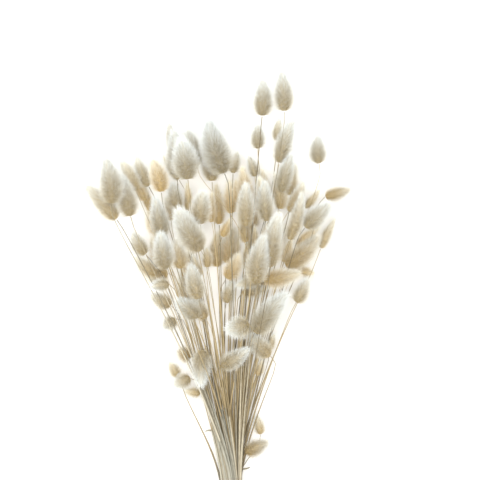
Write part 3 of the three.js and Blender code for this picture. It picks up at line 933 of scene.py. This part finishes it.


# %% [markdown]
# The colour of each culm
#
# Bleach doesn't reach all culms alike. A few heads stay golden, and these are named by their places. For
# the others chance gives the tone, and heads deep in the bunch are painted warmer and lighter, standing in
# for the bounce light that reaches them by way of other heads. Stems low in the bunch are golden, and darker
# with painted shade of the dense bundle, a brown streak runs up the middle of the waist, and left of it the
# stems on top are paler.

# %% Which heads stayed golden
# The middle of each head, in millimetres right of the tie's middle and above it, and how light it is.
GOLDEN_MIDDLES = [
    (72, 239, 0.86), (52, 216, 0.9), (107, 296, 0.78), (26, 40, 0.74), (2, 224, 1.0), (-4, 262, 0.95),
    (14, 261, 0.8), (-75, 313, 1.04), (-85, 293, 0.9), (-47, 135, 0.85), (7, 299, 1.0), (-12, 285, 0.95),
]
NEAR_ENOUGH = 9 * MM


def half_way_of(head):
    return (head["base"] + head["tip"]) / 2


def golden_shade(head):
    """How light a golden head is, and None for any other."""
    half_way = half_way_of(head)
    for x, y, shade in GOLDEN_MIDDLES:
        if (half_way.xy - tie_middle.xy - Vector((x, y)) * MM).length < NEAR_ENOUGH:
            return shade
    return None


print("golden heads:", sum(golden_shade(head) is not None for head in all_heads))

# %% How deep a head lies
BESIDE = 24 * MM
ABOVE = 8 * MM
FULL_COVER = 3


def covered(head):
    """0 for a head in the open, rising to 1 for one with three or more heads over it."""
    here = half_way_of(head)
    over = 0
    for other in map(half_way_of, all_heads):
        over += other.z > here.z + ABOVE and (other.xy - here.xy).length < BESIDE
    return min(1.0, over / FULL_COVER)


# %% The look of a stem
dice = random.Random(5)
STOUTNESS = (0.7, 1.2)
GOLD_BY_DEPTH = 1.3
GOLD_BY_LOWNESS = 0.5
NO_GOLD_UP_TO = 0.3
GOLD_CHANCE = (-0.15, 0.25)
STEM_SHADES = (0.62, 1.15)
PAINTED_SHADE_LOW = 0.42
STREAK_AHEAD = 45 * MM
STREAK = (-9 * MM, 5 * MM)
STREAK_FROM = 0.3
STREAK_SHADE = 0.8
PALE_UP_TO = 0.6
LESS_GOLD = 0.7


def lowness(line):
    """0 for a stem on top of the tie, rising to 1 at its underside."""
    return max(0.0, 1.0 - (place_at(line, tie_low.y).z - tie_low.z) / (tie_high.z - tie_low.z)) ** 0.5


def stem_look(culm):
    """The tone and shade of a stem."""
    depth = 1.0 - culm["head"]["base"].z / cad_high.z
    low = lowness(culm["line"])
    across = place_at(culm["line"], tie_high.y + STREAK_AHEAD).x - tie_middle.x
    gold = GOLD_BY_DEPTH * depth + GOLD_BY_LOWNESS * low - NO_GOLD_UP_TO + dice.uniform(*GOLD_CHANCE)
    tone = max(0.0, min(1.0, gold))
    # Painted shade: stems low in the tie, under the others, are darker.
    shade = dice.uniform(*STEM_SHADES) - PAINTED_SHADE_LOW * low
    if low > STREAK_FROM and STREAK[0] < across < STREAK[1]:
        return 1.0, shade * STREAK_SHADE
    if low < PALE_UP_TO and across < STREAK[0]:
        return tone * LESS_GOLD, shade
    return tone, shade


# %% The look of a head
GOLDEN_TONES = (0.85, 1.0)
OWN_TONES = (0.1, 0.35)
PAINTED_BOUNCE_WARMTH = 0.62
DEEP_CHANCE = (0.7, 1.2)
CROWN_FROM, CROWN_SPAN, CROWN_MOST = 0.26, 0.06, 0.8
HEAD_SHADES = (0.92, 1.02)
PAINTED_BOUNCE_LIGHT = 0.1


def head_look(head):
    """The tone and shade of a head. Far from the tie the heads are the palest."""
    shade = golden_shade(head)
    if shade:
        return dice.uniform(*GOLDEN_TONES), shade
    deep = covered(head)
    in_the_crown = max(0.0, min(CROWN_MOST, (head["base"].y - tie_high.y - CROWN_FROM) / CROWN_SPAN))
    # Painted bounce light: heads deep in the bunch are made warmer and lighter.
    tone = dice.uniform(*OWN_TONES) + PAINTED_BOUNCE_WARMTH * deep * dice.uniform(*DEEP_CHANCE)
    return tone * (1.0 - in_the_crown), dice.uniform(*HEAD_SHADES) + PAINTED_BOUNCE_LIGHT * deep


def looks_of(culm):
    """How stout a stem is, and the looks of stem and head."""
    return dice.uniform(*STOUTNESS), stem_look(culm), head_look(culm["head"])


# %% [markdown]
# Dry leaves
#
# The leaves shrivel as they dry, and mostly only their sheaths are left, pale and veined. They show on the
# stems on top of the waist and make these look broad and light. A leaf's line is a stretch of its stem's
# own line, up to the mouth of the sheath. Two leaves still have a blade, a short curl.

# %% Which stems have a leaf, and its line
leaf_dice = random.Random(11)
ON_TOP = 0.62
LEAFY_SHARE = 0.55
SHEATH_WIDER = 1.12
SHEATH_THICK = 0.16 * MM
SHEATH_STARTS, START_SPAN = 3 * MM, 27 * MM
SHEATH_ENDS = (26 * MM, 118 * MM)
MOUTH_CLOSES, MOUTH_NARROWS = 3 * MM, 0.9
LEAF_TONES = (0.0, 0.5)
LEAF_SHADES = (0.42, 1.08)
# Places are in millimetres from the tie's middle. Bends are angles from the way up the bunch, in radians.
BLADES = [
    {"place": (-20, 57), "length": 8 * MM, "side": -1, "bends": (1.2, 2.0)},
    {"place": (9, 18), "length": 12 * MM, "side": 1, "bends": (1.9, 1.0)},
]
BLADE_RISES = 0.5
BLADE_THICK, BLADE_END, BLADE_TAPER = 0.95 * MM, 0.08 * MM, 0.4
BLADE_STEPS = 7


def blade_at(line):
    """The withered blade that this stem carries and its height, if it has one."""
    for blade in BLADES:
        here = tie_middle + Vector((*blade["place"], 0)) * MM
        nearest = min(all_lines, key=lambda other: (place_at(other, here.y).xy - here.xy).length)
        if nearest is line:
            return blade, here.y
    return None, None


def blade_rows(point, blade):
    """Points along a blade with its thickness there."""
    rows = []
    first, last = blade["bends"]
    forward, outward = Vector((0, 1, 0)), Vector((blade["side"], 0, BLADE_RISES)).normalized()
    for step in range(1, BLADE_STEPS + 1):
        bend = first + (last - first) * step / BLADE_STEPS
        way = forward * math.cos(bend) + outward * math.sin(bend)
        point = point + way * blade["length"] / BLADE_STEPS
        rows.append((point, BLADE_THICK * (1 - step / BLADE_STEPS) ** BLADE_TAPER + BLADE_END))
    return rows


def leaf_of(culm, stout):
    """Points along a stem's leaf with their thickness, and its look, if the stem shows a leaf."""
    line = culm["line"]
    height = (place_at(line, tie_middle.y).z - tie_low.z) / (tie_high.z - tie_low.z)
    chance, mouth = leaf_dice.random(), tie_high.y + leaf_dice.uniform(*SHEATH_ENDS)
    look = (leaf_dice.uniform(*LEAF_TONES), leaf_dice.uniform(*LEAF_SHADES))
    blade, blade_height = blade_at(line)
    if not blade and (chance > LEAFY_SHARE or height < ON_TOP):
        return None
    if blade:
        mouth = blade_height
    start = line[0].y + SHEATH_STARTS + START_SPAN * chance
    between = [p for p in line if start + MM < p.y < mouth - MM]
    points = [place_at(line, start), *between, place_at(line, mouth)]
    rows = [(p, SHEATH_WIDER * stout * stem_thickness(p, line) + SHEATH_THICK) for p in points]
    if blade:
        return rows + blade_rows(points[-1], blade), look
    closed = place_at(line, mouth + MOUTH_CLOSES)
    return rows + [(closed, MOUTH_NARROWS * stout * stem_thickness(closed, line))], look


# %% [markdown]
# Growing the bunch
#
# One piece is grown for each node of the frame, so each can stand for its node and ride on the body.

# %% Every node
finishes = {"Straw": straw, "Hollow shade": hollow_shade, "Leaf": leaf_straw, "Spikelets": spikelets, "Down": down}
triangles, leaf_count = 0, 0
for number, name in enumerate(culm_nodes, 1):
    culms = culms_of[name]
    looks = [looks_of(culm) for culm in culms]
    leaves = [leaf_of(culm, stout) for culm, (stout, _, _) in zip(culms, looks)]
    leaf_count += sum(map(bool, leaves))
    guide = guide_mesh(name, culms, looks, leaves)
    mesh = plain_mesh(f"bunny_tails_{number:02d}", guide, culm_tree, {"Seed": number, **finishes})
    piece = placed(mesh.name, mesh)
    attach(piece, "root")
    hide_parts(name)
    mesh.calc_loop_triangles()
    triangles += len(mesh.loop_triangles)
print("pieces:", len(culm_nodes), "leaves:", leaf_count, "triangles:", triangles)

# %% [markdown]
# The twine
#
# The tie is four turns of thin jute pulled tight round the waist. A tight twine touches only the stems that
# stand out, so we measure how far the stems reach in each direction and lay the turns on the hull round
# them. Its two short ends cross on top, in a small loop. Twine is three strands laid round each other, so
# its section has three lobes and turns as it goes along.

# %% How far the stems reach
TWINE_THICK = 1.1 * MM
STEM_IN_TIE = 1.1 * MM
DIRECTIONS = 72
ANGLES = [2 * math.pi * i / DIRECTIONS for i in range(DIRECTIONS)]
FACING = 0.2


def pulled_tight(reaches, angle):
    """How far from the middle a tight twine lies."""
    sides = [(reach, math.cos(angle - a)) for reach, a in zip(reaches, ANGLES)]
    return min(reach / slope for reach, slope in sides if slope > FACING) + TWINE_THICK


places = [place_at(line, tie_middle.y) - tie_middle for line in all_lines]
reaches = [max(p.x * math.cos(a) + p.z * math.sin(a) for p in places) + STEM_IN_TIE for a in ANGLES]
top_of_tie = tie_middle.z + pulled_tight(reaches, math.pi / 2)
print("tie is high in mm:", round(top_of_tie / MM, 1))

# %% Turns of twine and the knot
TURNS = 4
POINTS_A_TURN = 40
OVER = 2 * TWINE_THICK
FIRST_END = [Vector((4.2 * MM, 8.0 * MM, OVER - 0.4 * MM)), Vector((1.6 * MM, 4.4 * MM, OVER))]
LAST_END = [Vector((1.4 * MM, -4.4 * MM, OVER)), Vector((4.6 * MM, -9.0 * MM, OVER - 0.6 * MM))]
KNOT_POINTS = 12
KNOT_SIZE = (1.9, 0.5, 1.1)
KNOT_RIGHT = 1.4 * MM
KNOT_UP = 1.6 * TWINE_THICK


def twine_line():
    """Points of the wound twine, crossed on top by its two short ends."""
    points = []
    steps = TURNS * POINTS_A_TURN
    for i in range(steps + 1):
        angle = 2 * math.pi * i / POINTS_A_TURN + math.pi / 2
        radius = pulled_tight(reaches, angle)
        shift = tie_low.y + TWINE_THICK + (tie_high.y - tie_low.y - 2 * TWINE_THICK) * i / steps
        height = max(TWINE_THICK, tie_middle.z + radius * math.sin(angle))
        points.append(Vector((tie_middle.x + radius * math.cos(angle), shift, height)))
    start, end = points[0], points[-1]
    return [start + off for off in FIRST_END] + points + [end + off for off in LAST_END]


def knot_ring():
    """The small loop drawn tight round the crossing on top."""
    centre = Vector((tie_middle.x + KNOT_RIGHT, tie_middle.y, top_of_tie + KNOT_UP))
    wide, deep, high = KNOT_SIZE
    ring = []
    for i in range(KNOT_POINTS):
        angle = 2 * math.pi * i / KNOT_POINTS
        off = Vector((wide * math.cos(angle), deep * math.sin(angle), high * math.sin(angle)))
        ring.append(centre + off * MM)
    return ring


# %% The tree of the twine
LAYS_A_METRE = 160.0
STRANDS = 3
LOBE = 0.13
TWINE_STEP = 0.6 * MM
TWINE_SIDES = 12


def build_twine_tree():
    tree = bpy.data.node_groups.new("twine", "GeometryNodeTree")
    tree_input(tree, "Line", "Geometry")
    tree_input(tree, "Thickness", "Float", TWINE_THICK)
    tree_input(tree, "Turns per metre", "Float", LAYS_A_METRE)
    tree_input(tree, "Twine", "Material")
    given = tree.nodes.new("NodeGroupInput").outputs
    line = add(tree, "GeometryNodeMeshToCurve", {"Mesh": given["Line"]})
    even = add(tree, "GeometryNodeResampleCurve", {"Curve": line, "Length": TWINE_STEP}, mode="LENGTH")
    along_it = tree.nodes.new("GeometryNodeSplineParameter").outputs
    lays = times(tree, along_it["Length"], given["Turns per metre"])
    turned = times(tree, lays, 2 * math.pi)
    tilted = add(tree, "GeometryNodeSetCurveTilt", {"Curve": even, "Tilt": turned})
    ring = circle(tree, TWINE_SIDES)
    angle = times(tree, along_it["Factor"], STRANDS * 2 * math.pi)
    lobe = times_plus(tree, math_node(tree, "COSINE", angle), LOBE, 1 - LOBE)
    bulged = {"Geometry": ring, "Position": scaled(tree, position(tree), lobe)}
    lobed = add(tree, "GeometryNodeSetPosition", bulged)
    rope = swept(tree, tilted, lobed, given["Thickness"])
    real = add(tree, "GeometryNodeRealizeInstances", {"Geometry": rope})
    return tree_output(tree, "Mesh", dressed(tree, real, given["Twine"]))


# %% [markdown]
# Jute
#
# Jute is brown, dull and hairy. One noise as fine as its fibres drives the colour, the roughness and a
# small bump, so the three agree: a light fibre is a raised and dry one.

# %% The finish of the twine
FIBRES_A_METRE = 900.0
JUTE_DARK, JUTE_LIGHT = (0.22, 0.14, 0.07, 1), (0.52, 0.38, 0.22, 1)
JUTE_ROUGHNESS = (0.8, 1.0)
FUZZ = 0.3 * MM
FUZZ_STRENGTH = 0.7


def build_jute():
    material, tree, shader = new_material("jute")
    where = add(tree, "ShaderNodeTexCoord").outputs["Object"]
    noise = {"Vector": where, "Scale": FIBRES_A_METRE, "Detail": 4.0}
    fibre = add(tree, "ShaderNodeTexNoise", noise)
    colour = add(tree, "ShaderNodeMix", {0: fibre, 6: JUTE_DARK, 7: JUTE_LIGHT}, data_type="RGBA")
    dullness = add(tree, "ShaderNodeMapRange", {0: fibre, 3: JUTE_ROUGHNESS[0], 4: JUTE_ROUGHNESS[1]})
    fuzz = add(tree, "ShaderNodeBump", {"Height": fibre, "Distance": FUZZ, "Strength": FUZZ_STRENGTH})
    fill(tree, shader, {"Base Color": colour.outputs[2], "Roughness": dullness, "Normal": fuzz})
    return material


# %% The tie
jute = build_jute()
twine_points, knot_points = twine_line(), knot_ring()
count = len(twine_points)
twine_edges = [(i, i + 1) for i in range(count - 1)]
knot_edges = [(count + i, count + (i + 1) % KNOT_POINTS) for i in range(KNOT_POINTS)]
twine_guide = bpy.data.meshes.new("twine_line")
twine_guide.from_pydata(twine_points + knot_points, twine_edges + knot_edges, [])
twine_mesh = plain_mesh("twine", twine_guide, build_twine_tree(), {"Twine": jute})
twine_mesh.polygons.foreach_set("use_smooth", np.ones(len(twine_mesh.polygons), bool))
twine = placed("twine", twine_mesh)
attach(twine, "root")
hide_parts("twine_tie")
print("twine points:", len(twine_points), "faces:", len(twine_mesh.polygons))

# %% [markdown]
# Floor
#
# The photograph is high key: the ground is plain white. Strong light alone would make a floor white, but it
# then spills over and eats thin stems and the soft rims of the heads. So the paper is a light grey that
# glows a little, and with the lamps it comes out just above white.

# %% The white paper
FLOOR_SIDE = 8.0
PAPER = (0.60, 0.585, 0.555, 1)
PAPER_GLOW = (1, 0.97, 0.89, 1)
GLOW_STRENGTH = 0.28
floor_mesh = bpy.data.meshes.new("floor")
half = FLOOR_SIDE / 2
corners = [(-half, -half, 0), (half, -half, 0), (half, half, 0), (-half, half, 0)]
floor_mesh.from_pydata(corners, [], [(0, 1, 2, 3)])
floor = placed("floor", floor_mesh)
paper, paper_tree, paper_shader = new_material("white_paper")
fill(paper_tree, paper_shader, {"Base Color": PAPER, "Roughness": 1.0})
fill(paper_tree, paper_shader, {"Emission Color": PAPER_GLOW, "Emission Strength": GLOW_STRENGTH})
floor_mesh.materials.append(paper)
print("floor is", FLOOR_SIDE, "m wide")

# %% [markdown]
# Light
#
# There is no hard shadow anywhere, so most of the light is an even white sky, as in a tent of cloth. One
# large softbox overhead gives the heads their form, and a weak one from the left keeps their sides from
# looking alike.

# %% Sky and softboxes
SKY_STRENGTH = 1.0
world = bpy.data.worlds.new("soft_studio")
scene.world = world
world.use_nodes = True
sky = world.node_tree.nodes["Background"]
fill(world.node_tree, sky, {"Color": (1, 1, 1, 1), "Strength": SKY_STRENGTH})
scene.view_settings.view_transform = "Standard"


def add_softbox(name, watts, side, place, aim):
    data = bpy.data.lights.new(name, "AREA")
    data.size = side
    data.energy = watts
    light = placed(name, data)
    light.location = place
    light.rotation_euler = (Vector(aim) - Vector(place)).to_track_quat("-Z", "Y").to_euler()


add_softbox("overhead_softbox", watts=100.0, side=1.2, place=(-0.06, 0.16, 3.0), aim=(0.0, 0.08, 0.0))
add_softbox("side_softbox", watts=4.0, side=0.6, place=(-1.0, 0.5, 0.7), aim=(0.0, 0.08, 0.05))
print("lights:", len(bpy.data.lights))

# %% [markdown]
# Camera
#
# The bunch lies down, so the camera looks straight down on it, with the tie just below the picture. It
# stands high with a long lens, or the nearest heads would look too large. The lens follows from the side of
# the square that the picture shows.

# %% The camera over the bunch
PICTURE_SIDE = 0.48
PICTURE_MIDDLE = Vector((tie_middle.x + 9 * MM, tie_high.y + 245 * MM, 45 * MM))
CAMERA_HEIGHT = 2.6
SENSOR = 36.0
camera_data = bpy.data.cameras.new("camera")
camera_data.sensor_width = SENSOR
camera_data.lens = SENSOR * CAMERA_HEIGHT / PICTURE_SIDE
camera = placed("camera", camera_data)
camera.location = PICTURE_MIDDLE + Vector((0, 0, CAMERA_HEIGHT))
scene.camera = camera
print("lens in mm:", round(camera_data.lens))

# %% Sizes of the frame
print("CAD box in mm:", [round(v / MM, 1) for v in (*cad_low, *cad_high)])
